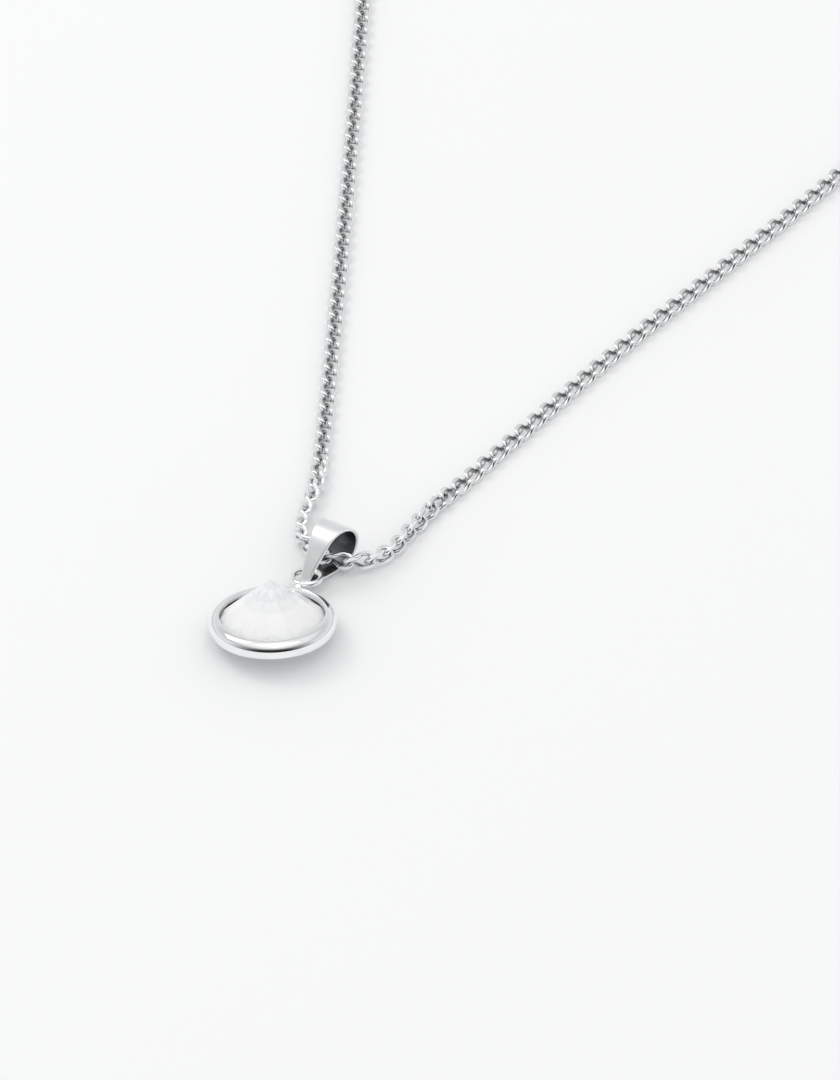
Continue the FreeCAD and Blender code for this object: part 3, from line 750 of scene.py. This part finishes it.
def build_eased(name, node):
    """A CAD node's own shape with the edges of its top and bottom rounded."""
    source = frame["nodes"][node]
    shape = bmesh.new()
    shape.from_mesh(source.data)
    shape.transform(source.matrix_world)
    bmesh.ops.remove_doubles(shape, verts=shape.verts, dist=SAME_SPOT_MM * MM)
    bmesh.ops.dissolve_limit(shape, angle_limit=SAME_PLANE, verts=shape.verts, edges=shape.edges)
    heights = [vertex.co.z for vertex in shape.verts]
    low = min(heights)
    high = max(heights)
    sharp = [edge for edge in shape.edges if is_outer_edge(edge, low, high)]
    bmesh.ops.bevel(
        shape,
        geom=sharp,
        offset=EASED_EDGE_MM * MM,
        segments=EASED_STEPS,
        profile=0.5,
        affect="EDGES",
        clamp_overlap=True,
    )
    bmesh.ops.triangulate(shape, faces=shape.faces)
    shape.verts.index_update()
    verts = [vertex.co.copy() for vertex in shape.verts]
    faces = [[vertex.index for vertex in face.verts] for face in shape.faces]
    shape.free()
    piece = make_piece(name, verts, faces, CLASP_SILVER, body_of(node), node)
    for polygon in piece.data.polygons:
        polygon.use_smooth = abs(polygon.normal.z) < LEVEL_NORMAL
    piece.data.set_sharp_from_angle(angle=SHARP_EDGE)


build_eased("clasp_housing", "clasp_body")
build_eased("clasp_trigger", "clasp_lever")

# ---------------------------------------------------------------- carried-over nodes

CARRIED_OVER = {
    "eyelet_ring": SETTING_SILVER,
    "stone": CLEAR_STONE,
    "left_jump_ring": CLASP_SILVER,
    "catch_ring": CLASP_SILVER,
    "clasp_jump_ring": CLASP_SILVER,
    "lever_rivet": CLASP_SILVER,
    "lever_spring": SPRING_STEEL,
}
for node, material in CARRIED_OVER.items():
    paint(frame["nodes"][node], material)

# ---------------------------------------------------------------- floor, light and camera

FLOOR_Z = CAD_BOX[0][2]
FLOOR_HALF = 3.0
FLOOR_COLOUR = (0.90, 0.905, 0.91, 1)

# How bright the surround looks in reflections, from the horizon (0) to overhead (1).
HEIGHT_TONES = ((0.0, 0.50), (0.2, 0.85), (0.55, 0.62), (0.75, 0.85), (1.0, 0.95))
FRONT_TONES = ((0.0, 0.02), (0.50, 0.03), (0.72, 0.60), (0.85, 0.95), (1.0, 1.0))
# How far the front tones hold, from the front (0) to the side (1).
FRONT_SHARES = ((0.15, 1.0), (0.85, 0.0))
SOFT_LIGHT = (0.885, 0.885, 0.885, 1)

LIGHT_TARGET = (0.02, 0.03, 0.0)
KEY_PLACE = (-0.42, 0.30, 0.62)
KEY_SIZE = 0.35
KEY_WATTS = 0.9
KEY_COLOUR = (1.0, 0.995, 0.985)
TOP_PLACE = (0.05, 0.0, 0.95)
TOP_SIZE = 0.7
TOP_WATTS = 0.7
TOP_COLOUR = (0.97, 0.985, 1.0)

CAMERA_ELEVATION = math.radians(40.11)
CAMERA_DISTANCE = 1.0835
CAMERA_TARGET = (0.01694, 0.017465, -0.001368)
SENSOR_MM = 36.0
FRAME_HEIGHT = 1080
FOCAL_IN_FRAME = 9294.0 / FRAME_HEIGHT


def build_floor():
    nodes = Nodes("pale_floor")
    nodes.set(Base_Color=FLOOR_COLOUR)
    nodes.set(Roughness=0.75)
    nodes.set(Specular_IOR_Level=0.15)
    mesh = bpy.data.meshes.new("floor")
    signs = ((-1, -1), (1, -1), (1, 1), (-1, 1))
    corners = [(x * FLOOR_HALF, y * FLOOR_HALF, FLOOR_Z) for x, y in signs]
    mesh.from_pydata(corners, [], [(0, 1, 2, 3)])
    floor = bpy.data.objects.new("floor", mesh)
    bpy.context.scene.collection.objects.link(floor)
    mesh.materials.append(nodes.material)


def aim(obj, target):
    """Turn a light or a camera to look at a point."""
    way = Vector(target) - obj.location
    obj.rotation_euler = way.to_track_quat("-Z", "Y").to_euler()


def add_area(name, place, size, watts, colour):
    """A square area light that faces the pendant."""
    light = bpy.data.lights.new(name, "AREA")
    light.size = size
    light.energy = watts
    light.color = colour
    obj = bpy.data.objects.new(name, light)
    obj.location = place
    bpy.context.scene.collection.objects.link(obj)
    aim(obj, LIGHT_TARGET)


def build_world():
    """Even white light. Reflections see a studio that is dark in front, low down."""
    world = bpy.data.worlds.new("studio")
    bpy.context.scene.world = world
    world.use_nodes = True
    tree = world.node_tree
    background = tree.nodes["Background"]
    coords = tree.nodes.new("ShaderNodeTexCoord")
    split = tree.nodes.new("ShaderNodeSeparateXYZ")
    tree.links.new(coords.outputs["Generated"], split.inputs[0])

    def ramp(source, low, high, stops):
        """Grey levels along a coordinate, which runs from low to high."""
        spread = tree.nodes.new("ShaderNodeMapRange")
        spread.inputs["From Min"].default_value = low
        spread.inputs["From Max"].default_value = high
        tree.links.new(source, spread.inputs["Value"])
        node = tree.nodes.new("ShaderNodeValToRGB")
        elements = node.color_ramp.elements
        while len(elements) < len(stops):
            elements.new(0.5)
        for element, (position, level) in zip(elements, stops):
            element.position = position
            element.color = (level, level, level, 1)
        tree.links.new(spread.outputs["Result"], node.inputs["Fac"])
        return node.outputs["Color"]

    height = ramp(split.outputs["Z"], 0.0, 1.0, HEIGHT_TONES)
    front_height = ramp(split.outputs["Z"], 0.0, 1.0, FRONT_TONES)
    front = ramp(split.outputs["Y"], -1.0, 0.0, FRONT_SHARES)
    mix = tree.nodes.new("ShaderNodeMix")
    mix.data_type = "RGBA"
    tree.links.new(front, mix.inputs["Factor"])
    tree.links.new(height, mix.inputs[FIRST_COLOUR])
    tree.links.new(front_height, mix.inputs[SECOND_COLOUR])
    ray = tree.nodes.new("ShaderNodeLightPath")
    choice = tree.nodes.new("ShaderNodeMix")
    choice.data_type = "RGBA"
    tree.links.new(ray.outputs["Is Glossy Ray"], choice.inputs["Factor"])
    choice.inputs[FIRST_COLOUR].default_value = SOFT_LIGHT
    tree.links.new(mix.outputs[MIXED_COLOUR], choice.inputs[SECOND_COLOUR])
    tree.links.new(choice.outputs[MIXED_COLOUR], background.inputs["Color"])
    background.inputs["Strength"].default_value = 1.0


def build_camera():
    camera = bpy.data.cameras.new("camera")
    camera.sensor_width = SENSOR_MM
    camera.lens = SENSOR_MM * FOCAL_IN_FRAME
    camera.clip_start = 0.01
    camera.clip_end = 20.0
    obj = bpy.data.objects.new("camera", camera)
    back = Vector((0, -math.cos(CAMERA_ELEVATION), math.sin(CAMERA_ELEVATION)))
    obj.location = Vector(CAMERA_TARGET) + back * CAMERA_DISTANCE
    aim(obj, CAMERA_TARGET)
    bpy.context.scene.collection.objects.link(obj)
    bpy.context.scene.camera = obj


build_floor()
build_world()
add_area("key", KEY_PLACE, KEY_SIZE, KEY_WATTS, KEY_COLOUR)
add_area("top", TOP_PLACE, TOP_SIZE, TOP_WATTS, TOP_COLOUR)
build_camera()
bpy.context.scene.view_settings.view_transform = "Standard"
